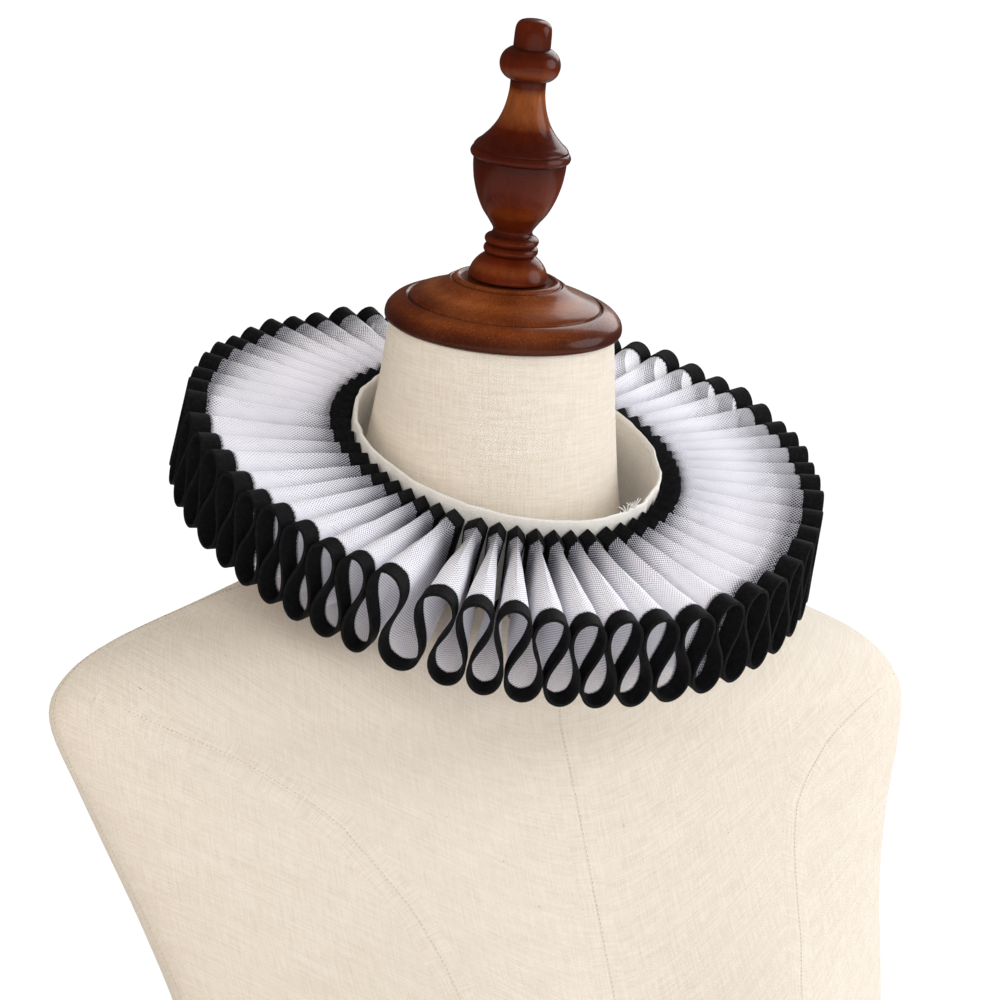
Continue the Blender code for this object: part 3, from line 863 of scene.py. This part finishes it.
tab = make_curved_band("back_tab_pile", OPENING_ANGLE - TAB_HALF_ANGLE,
                       OPENING_ANGLE + TAB_HALF_ANGLE, TAB_COLUMNS,
                       curved_band_section(TAB_WALL, TAB_BOTTOM, TAB_TOP, TAB_ROWS),
                       -SEAM_GAP - TAB_WALL, lambda angle, height: 0, make_pile_material())
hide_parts("back_tab")
tab_high, tab_low = TAB_TOP - TAB_STITCH_INSET, TAB_BOTTOM + TAB_STITCH_INSET
tab_corners = [on_band(math.radians(OPENING_ANGLE + side * TAB_STITCH_TURN), TAB_STITCH_OUT,
                       height)
               for side, height in ((-1, tab_high), (1, tab_high), (1, tab_low),
                                    (-1, tab_low), (-1, tab_high))]
tab_runs = [[(on_tab(start.lerp(end, step / TAB_STITCH_STEPS)), end - start)
             for step in range(TAB_STITCH_STEPS + 1)]
            for start, end in zip(tab_corners, tab_corners[1:])]
tab_stitches = sew("back_tab_stitches", tab_runs, COLLAR_PLACE, white_thread, *BAND_STITCH)
for piece in (tab, tab_stitches):
    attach(piece, "root")


# --- pleated net ---
# One long strip of stiff white net is folded into 57 deep organ pleats.  At the neck the
# folds are pressed sharp and stand close together; at the rim each one springs open
# into a round loop beside its neighbours.
RIM_RADIUS_X, RIM_RADIUS_Y = 137.5, 140.4
PLEAT_HEIGHT_INNER, PLEAT_HEIGHT_OUTER = 38.0, 37.5
RIM_SADDLE, UNDERSIDE_FLARE, BINDING_WIDTH = -4.5, 2.4, 9.0
PLEAT_STRETCHES = (
    # where, number of gaps, degrees each
    ("back, -X half", 7, 6),
    ("-X side, pressed", 4, 6.2),
    ("-X side, open", 2, 8.05),
    ("-X side, eased", 2, 6.95),
    ("front -X, pressed", 6, 5.93),
    ("front -X, widest", 1, 9.6),
    ("front -X, next to it", 1, 6.4),
    ("front", 5, 6.5),
    ("front middle, open", 1, 8.4),
    ("front +X", 4, 6.9),
    ("+X side", 5, 6.24),
    ("+X side, pressed", 4, 5),
    ("+X side, back", 6, 6.3),
    ("back, +X half", 8, 6),
)
BACK_HALF_GAP = 3.0
RIPPLE_WIDTH, RIPPLE_WIDTH_TURN = 0.035, 2.4
RIPPLE_HEIGHT, RIPPLE_HEIGHT_TURN = 0.9, 1.9
NET_STEPS, RIBBON_STEPS = 36, 72
FOLD_ROOF, FOLD_ROOF_DROP, FOLD_TURN = 0.40, 0.085, 1.0 / 18.0
# The folds' pinch, and the shares of the way out where it starts, is full, and ends
PINCH, PINCH_START, PINCH_FULL, PINCH_END = 0.28, 0.11, 0.20, 0.80
OPENING_OUT = 1.5
# The waves that draw a rim loop: its fourth sideways, its first and third in height
LOOP_WAVER, LOOP_ROUND, LOOP_SQUARE = 0.012, 0.4653, 0.0347
LOOP_REACH, LOOP_CLEARANCE = 8.4, 0.85
# Reach of a loop without a bulge, and how fast it grows with its bulge
LOOP_PLAIN, LOOP_GROWTH = 0.145, 0.955
CLOTH_PER_PLEAT = 96.0
PUFF, PUFF_SCALE = 0.7, 0.055
NET_ROWS, NET_WALL, NET_TUCK = 17, 0.35, 2.0
NET_CELL_WIDE, NET_CELL_LONG = 1.35, 1.65
NET_COLOUR = (0.95, 0.94, 1.0)
NET_OPEN, NET_CLOSE, NET_SOFT = -0.9, 0.0, 0.12
NET_SCATTER, NET_CLEAR, NET_EDGE_ON, NET_EDGE_RANGE = 0.35, 0.97, 0.6, (0.35, 0.95)
# How far in from each ribbon the net's holes get painted shade, in front and at the back
NECK_PAINTED_SHADE_REACH, RIM_PAINTED_SHADE_REACH = (44.0, 7.0), (1.5, 15.0)
# Painted shade: the dark painted into the net's holes beside the ribbons
PAINTED_SHADE_COLOUR = (0.022, 0.022, 0.042)
# Directions as shares of X and Y, and where along them a look sets in, in metres
NECK_SHADE_WAY, NECK_SHADE_RANGE = (0.6, 0.8), (-0.09, -0.01)
RIM_SHADE_WAY, RIM_SHADE_RANGE = (0.7, 0.8), (-0.07, 0.0)
CLEAR_WAY, CLEAR_RANGE, CLEAR_AT_BACK = (0.89, 0.44), (0.07, 0.105), 0.62
# Where the net is free of the painted shade, and where its layers lie packed together
BARE_FROM_NECK, BARE_FROM_RIM = (0.15, 1.0), (0.3, 1.0)
PACKED_SHARE, PACKED_MORE = 0.8, 16.0
PACKED_FROM_NECK, PACKED_FROM_RIM = (0.05, 1.0), (0.6, 1.7)


def pleat_tops():
    """Angles of the pleat tops round the neck, with a small steady unevenness, and one
    more at each end, beyond the opening."""
    gaps = [degrees for _, count, degrees in PLEAT_STRETCHES for _ in range(count)]
    gaps = np.array(gaps) * (1 + RIPPLE_WIDTH * np.sin(RIPPLE_WIDTH_TURN
                                                         * np.arange(len(gaps))))
    gaps *= (360 - 2 * BACK_HALF_GAP) / sum(gaps)
    end_gap = 2 * (BACK_HALF_GAP - OPENING_GAP)
    first = OPENING_ANGLE + BACK_HALF_GAP - end_gap
    return first + np.cumsum([0, end_gap, *gaps, end_gap])


TOPS = pleat_tops()
PLEATS = len(TOPS) - 2
NECK_EDGE_X = NECK_RADIUS_X + BAND_WALL + SEAM_GAP
NECK_EDGE_Y = NECK_RADIUS_Y + BAND_WALL + SEAM_GAP
STRIP_DEPTH = RIM_RADIUS_X - NECK_EDGE_X
PLEAT_SIZES = {
    "Neck Radius X": NECK_EDGE_X, "Neck Radius Y": NECK_EDGE_Y, "Rim Radius X": RIM_RADIUS_X,
    "Rim Radius Y": RIM_RADIUS_Y, "Neck Height": PLEAT_HEIGHT_INNER,
    "Rim Height": PLEAT_HEIGHT_OUTER, "Saddle": RIM_SADDLE, "Flare": UNDERSIDE_FLARE}


def make_pleating_tree():
    """Folds a flat strip into the ruff.  Each point of the strip knows its share of a
    pleat's cloth, its share of the way out to the rim, the angle of its pleat's top, the
    angle to the next top, how far its loop bulges and how much higher it stands."""
    tree, node, given, result = start_group(
        "organ_pleats", "GeometryNodeTree",
        {"Geometry": "Geometry", **dict.fromkeys(PLEAT_SIZES, "Float"), "Puff": "Float",
         "Cloth": "Material"},
        {"Geometry": "Geometry"})
    share, out, top, gap, bulge, rise = (
        node("GeometryNodeInputNamedAttribute", {"Name": name}, data_type="FLOAT")
        for name in ("share", "out", "top", "gap", "bulge", "rise"))
    rim_height = given["Rim Height"]

    def waves(turns):
        return share * (2 * math.pi * turns)

    loop_x = share + bulge * waves(2).sine() + LOOP_WAVER * waves(4).sine()
    loop_z = LOOP_ROUND * waves(1).cosine() + LOOP_SQUARE * waves(3).cosine() - 0.5
    half = share.work("PINGPONG", 0.5)
    roof_and_floor = half.ramp(0, FOLD_TURN) + half.ramp(0.5 - FOLD_TURN, 0.5)
    leg = half.ramp(FOLD_TURN, 0.5 - FOLD_TURN)
    pinched = out.ramp(PINCH_START, PINCH_FULL) - out.ramp(PINCH_FULL, PINCH_END)
    roof_reach = pinched * -PINCH + FOLD_ROOF
    fold_half = roof_and_floor * roof_reach + leg * (roof_reach * -2 + 0.5)
    fold_x = fold_half + share.work("GREATER_THAN", 0.5) * (1 - fold_half * 2)
    fold_z = roof_and_floor * -FOLD_ROOF_DROP - leg * (1 - 2 * FOLD_ROOF_DROP)
    opened = out.work("POWER", OPENING_OUT)
    angle = top + gap * (fold_x + opened * (loop_x - fold_x))
    neck_height = fold_z * given["Neck Height"]
    height = neck_height + opened * (loop_z * rim_height - neck_height)
    flare = out * given["Flare"] * (height / rim_height) * -1
    radius_x, radius_y = (
        given["Neck Radius " + way]
        + out * (given["Rim Radius " + way] - given["Neck Radius " + way]) + flare
        for way in "XY")
    point = node("ShaderNodeCombineXYZ", {
        0: radius_x * angle.sine(), 1: radius_y * angle.cosine() * -1,
        2: height + out * rise * (loop_z + 1)
        + out * given["Saddle"] * (angle * 2).cosine()})
    folded = node("GeometryNodeSetPosition", {"Geometry": given["Geometry"], "Position": point})
    billow = soft_noise(node("GeometryNodeInputPosition"), PUFF_SCALE, 1) - 0.5
    push = billow * given["Puff"] * (out * math.pi).sine() * 2
    offset = node("ShaderNodeVectorMath",
                  {0: node("GeometryNodeInputNormal"), "Scale": push}, operation="SCALE")
    billowed = node("GeometryNodeSetPosition", {"Geometry": folded, "Offset": offset})
    end_tree(node, billowed, given["Cloth"], result)
    return tree


PLEATING = make_pleating_tree()


def pleat_facts(positions):
    """Share of the pleat's cloth, angle of its top, angle to the next top, bulge of the
    loop and its height change, at positions counted in pleats."""
    number = np.floor(positions)
    share = positions - number
    row = number.astype(int) + 1
    top, gap = np.radians(TOPS[row]), np.radians(TOPS[row + 1] - TOPS[row])
    gap_length = gap * 0.5 * (RIM_RADIUS_X + RIM_RADIUS_Y)
    reach = np.minimum(0.5 - LOOP_CLEARANCE / gap_length, LOOP_REACH / gap_length)
    rise = RIPPLE_HEIGHT * np.sin(RIPPLE_HEIGHT_TURN * (number + (share > 0.5)))
    return share, top, gap, (reach - LOOP_PLAIN) / LOOP_GROWTH, rise


def pleat_sheet(name, distances, steps, puff, material):
    """A stretch of the strip with rows at these distances from the neck edge, folded by
    the pleating tree.  It has no thickness yet."""
    positions = np.arange(PLEATS * steps + 1) / steps - 0.5
    outs = [distance / STRIP_DEPTH for distance in distances]
    faces, corners = grid_faces(len(outs), len(positions))
    piece = start_piece(name, [(position, out, 0) for out in outs for position in positions],
                        [], faces, [(positions[column] * CLOTH_PER_PLEAT, distances[row])
                                    for row, column in corners])
    facts = pleat_facts(np.round(positions, 6))
    for label, values in zip(("share", "top", "gap", "bulge", "rise"), facts):
        note(piece, label, np.tile(values, len(outs)))
    note(piece, "out", np.repeat(outs, len(positions)))
    run_tree(piece, PLEATING, {**PLEAT_SIZES, "Puff": puff, "Cloth": material})
    return piece


def pleat_strip(name, distances, steps, wall, edge_wall, puff, material):
    """The same with its thickness, which is edge_wall at its two edges."""
    piece = pleat_sheet(name, distances, steps, puff, material)
    count, columns = len(piece.data.vertices), PLEATS * steps + 1
    group = piece.vertex_groups.new(name="thickness")
    group.add(range(columns, count - columns), 1, "REPLACE")
    group.add([*range(columns), *range(count - columns, count)], edge_wall / wall, "REPLACE")
    solidify = piece.modifiers.new("thickness", "SOLIDIFY")
    solidify.thickness = wall
    solidify.offset = 0
    solidify.vertex_group = group.name
    make_plain(piece, solidify)
    settle(piece.data, COLLAR_PLACE, 50)
    return piece


def make_net_material():
    """Fine white threads in a diamond mesh.  Its holes show what lies behind, and close
    up where the layers of a fold lie together.  Beside a ribbon the holes are painted
    dark as painted shade, for the ribbon's other half and the shade under it, furthest
    in at the low front of the neck and round the rim behind; at the back +X side less
    is painted, and one looks out between the folds instead.  Only the wall's face that
    is turned to the eye shows, so the net is as open as one layer; it closes up where it
    is seen edge on, and casts a lighter shadow than solid cloth."""
    material, node, looks = start_material("white_net", 0.7, Specular_IOR_Level=0.2)
    run, place, _ = node("ShaderNodeUVMap", uv_map="cloth").parts()
    along = run * (2 * math.pi / NET_CELL_WIDE)
    up = place * (2 * math.pi / NET_CELL_LONG)
    left, back, _ = node("ShaderNodeTexCoord", output="Object").parts()

    def toward(way, span):
        return (left * way[0] + back * way[1]).ramp(*span)

    def reach(shown, way, span):
        return toward(way, span) * (shown[1] - shown[0]) + shown[0]

    neck_reach = reach(NECK_PAINTED_SHADE_REACH, NECK_SHADE_WAY, NECK_SHADE_RANGE)
    rim_reach = reach(RIM_PAINTED_SHADE_REACH, RIM_SHADE_WAY, RIM_SHADE_RANGE)
    past_neck = place - BINDING_WIDTH
    before_rim = (STRIP_DEPTH - BINDING_WIDTH - place) / rim_reach
    bare = (past_neck / neck_reach).ramp(*BARE_FROM_NECK) * before_rim.ramp(*BARE_FROM_RIM)
    packed = (past_neck / (neck_reach * PACKED_SHARE + PACKED_MORE)).ramp(*PACKED_FROM_NECK) \
        * before_rim.ramp(*PACKED_FROM_RIM)
    edge_on = node("ShaderNodeLayerWeight", {"Blend": 0.5}, "Facing")
    threads = (along + up).cosine().work("MINIMUM", (along - up).cosine())
    hole = (threads - packed * (NET_CLOSE - NET_OPEN)).ramp(NET_OPEN - NET_SOFT,
                                                            NET_OPEN + NET_SOFT)
    clear = toward(CLEAR_WAY, CLEAR_RANGE) * CLEAR_AT_BACK
    # Painted shade: beside the ribbons the holes are painted dark instead of showing what is
    # behind
    painted_shade = hole * (1 - bare) * (1 - clear)
    away = node("ShaderNodeNewGeometry", output="Backfacing")
    shadow = node("ShaderNodeLightPath", output="Is Shadow Ray")
    seen = (1 - away) * (1 - shadow * NET_SCATTER)
    see_through = (hole - painted_shade) * (NET_CLEAR - edge_on.ramp(*NET_EDGE_RANGE) * NET_EDGE_ON)
    (seen - seen * see_through).into(looks["Alpha"])
    paint(looks, painted_shade.blend(NET_COLOUR, PAINTED_SHADE_COLOUR), 1 - hole, 0.4, 0.25)
    return material


net = pleat_strip("pleated_net",
                  np.linspace(BINDING_WIDTH - NET_TUCK, STRIP_DEPTH - BINDING_WIDTH + NET_TUCK,
                              NET_ROWS + 1),
                  NET_STEPS, NET_WALL, NET_WALL, PUFF, make_net_material())
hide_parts("ruffle_net")
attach(net, "root")


# --- ribbon bindings ---
# Matt black ribbon is folded over both long edges of the net and stitched down close to
# its own edge, with black thread laid slantwise across from the ribbon onto the net.
OUTER_BINDING_WALL, INNER_BINDING_WALL, RIBBON_EDGE_WALL = 1.4, 1.1, 0.5
RIBBON_EDGE_ROWS = (0.0, 0.35, 3.2, 5.8, 8.65, 9.0)
RIBBON_COLOUR, RIBBON_WORN = (0.0045, 0.0045, 0.005), (0.016, 0.016, 0.018)
RIBBON_RIB, RIB_SHADE = 0.8, 0.15
DUST_SCALE, DUST_RANGE, DUST_SHADE = 0.6, (0.45, 0.8), 0.6
RIBBON_STITCH = (2.1, 2.7, 0.36)
STITCH_REACH, STITCHES_PER_PLEAT = 1.2, 80
THREAD_BLACK = (0.008, 0.008, 0.009)


def make_ribbon_material():
    material, node, looks = start_material("black_ribbon", 0.75, Specular_IOR_Level=0.12)
    cloth = node("ShaderNodeUVMap", uv_map="cloth")
    rib = (cloth.parts()[0] * (2 * math.pi / RIBBON_RIB)).sine() * 0.5 + 0.5
    dust = soft_noise(cloth, DUST_SCALE, 3).ramp(*DUST_RANGE)
    worn = (dust * DUST_SHADE + rib * RIB_SHADE).blend(RIBBON_COLOUR, RIBBON_WORN)
    paint(looks, worn, rib, 0.4, 0.15)
    return material


ribbon = make_ribbon_material()
outer_ribbon = pleat_strip("outer_edge_ribbon",
                           [STRIP_DEPTH - BINDING_WIDTH + row for row in RIBBON_EDGE_ROWS],
                           RIBBON_STEPS, OUTER_BINDING_WALL, RIBBON_EDGE_WALL, 0.0, ribbon)
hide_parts("outer_binding")
inner_ribbon = pleat_strip("neck_edge_ribbon", RIBBON_EDGE_ROWS, RIBBON_STEPS,
                           INNER_BINDING_WALL, RIBBON_EDGE_WALL, 0.0, ribbon)
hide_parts("inner_binding")
black_thread = make_thread("black_thread", THREAD_BLACK, 0.6)


def folded_lines(near, far, steps):
    """Points along the folded strip at two distances from its neck edge."""
    guide = pleat_sheet("folded_lines", (near, far), steps, 0.0, ribbon)
    spots = [vertex.co.copy() for vertex in guide.data.vertices]
    bpy.data.objects.remove(guide)
    half = len(spots) // 2
    return spots[:half], spots[half:]


def sew_ribbon_edge(name, distance):
    """Slanting stitches over a ribbon's edge, this far from the strip's neck edge."""
    near_line, far_line = folded_lines(distance - STITCH_REACH, distance + STITCH_REACH,
                                       STITCHES_PER_PLEAT)
    run = [((near + far) * 0.5, (far - near).normalized())
           for near, far in zip(near_line, far_line[1:])]
    return sew(name, [run], COLLAR_PLACE, black_thread, *RIBBON_STITCH)


strip_pieces = [outer_ribbon, inner_ribbon,
                sew_ribbon_edge("neck_edge_stitches", BINDING_WIDTH),
                sew_ribbon_edge("outer_edge_stitches", STRIP_DEPTH - BINDING_WIDTH)]
for piece in strip_pieces:
    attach(piece, "root")
middle_line, _ = folded_lines(STRIP_DEPTH * 0.5, STRIP_DEPTH * 0.5 + 1, NET_STEPS)


# --- floor, light and camera ---
# A plain pale floor under a white studio, lit by four large soft panels.  The camera
# stands level with the collar, a little to the form's right.
FLOOR_RADIUS, FLOOR_SIDES, FLOOR_COLOUR = 2.6, 96, (0.86, 0.86, 0.86, 1.0)
VIEW_SIDE = math.radians(-27.0)
VIEW_DISTANCE = 1500.0
PIXELS_PER_MM = 2.34
COLLAR_AT = (506.0, 444.6)
IMAGE_SIZE = 1000.0
SENSOR_WIDTH = 36.0
PANELS = (
    # name, side angle, height angle, distance m, size m, power W, colour, mirrored
    ("front_panel", -14, 3, 2.4, 2.2, 28.5, (1, 1, 1), False),
    ("side_panel", 60, 14, 2.2, 1.7, 24.5, (0.97, 0.985, 1), True),
    ("back_panel", 120, 38, 2.6, 1.8, 34, (1, 1, 1), True),
    ("fill_panel", -92, 20, 2.4, 1.8, 16.5, (1, 0.87, 0.72), False),
)
WORLD_LIGHT, WORLD_SEEN, WORLD_REFLECTED = 0.41, 1.05, 0.08


def make_floor():
    turns = [2 * math.pi * side / FLOOR_SIDES for side in range(FLOOR_SIDES)]
    rim = [(FLOOR_RADIUS * math.cos(turn), FLOOR_RADIUS * math.sin(turn), 0)
           for turn in turns]
    piece = start_piece("studio_floor", rim, [], [tuple(range(FLOOR_SIDES))])
    material = start_material("studio_floor", 0.8, Base_Color=FLOOR_COLOUR)[0]
    piece.data.materials.append(material)
    return piece


def make_world():
    world = bpy.data.worlds.new("white_studio")
    world.use_nodes = True
    tree = world.node_tree
    ambient = tree.nodes["Background"].inputs
    ambient["Color"].default_value = (1, 1, 1, 1)
    seen, mirrored = (measure(tree, "ShaderNodeLightPath", output=ray)
                      for ray in ("Is Camera Ray", "Is Glossy Ray"))
    (seen * (WORLD_SEEN - WORLD_LIGHT) + mirrored * (WORLD_REFLECTED - WORLD_LIGHT)
     + WORLD_LIGHT).into(ambient["Strength"])
    bpy.context.scene.world = world


def aim(name, data, place, away):
    """A lamp or camera at a place, looking back along away."""
    aimed = show(name, data)
    aimed.location = place
    aimed.rotation_euler = away.to_track_quat("Z", "Y").to_euler()
    return aimed


def make_panel(name, side, rise, distance, size, power, colour, mirrored):
    light = bpy.data.lights.new(name, "AREA")
    light.shape = "DISK"
    light.size = size
    light.energy = power
    light.color = colour
    side, rise = math.radians(side), math.radians(rise)
    away = Vector((math.sin(side) * math.cos(rise), -math.cos(side) * math.cos(rise),
                   math.sin(rise)))
    lamp = aim(name, light, FORM_PLACE.translation * MM + away * distance, away)
    lamp.visible_glossy = mirrored


def make_camera():
    away = Vector((math.sin(VIEW_SIDE), -math.cos(VIEW_SIDE), 0))
    right = Vector((math.cos(VIEW_SIDE), math.sin(VIEW_SIDE), 0))
    collar = FORM_PLACE.translation
    stand = collar + away * VIEW_DISTANCE
    middle = IMAGE_SIZE / 2
    target = (collar + right * ((middle - COLLAR_AT[0]) / PIXELS_PER_MM)
              - UP * ((middle - COLLAR_AT[1]) / PIXELS_PER_MM))
    data = bpy.data.cameras.new("camera")
    data.sensor_width = SENSOR_WIDTH
    data.lens = PIXELS_PER_MM * VIEW_DISTANCE / IMAGE_SIZE * SENSOR_WIDTH
    bpy.context.scene.camera = aim("camera", data, stand * MM, stand - target)


floor = make_floor()
make_world()
for panel in PANELS:
    make_panel(*panel)
make_camera()
bpy.context.scene.view_settings.view_transform = "Standard"
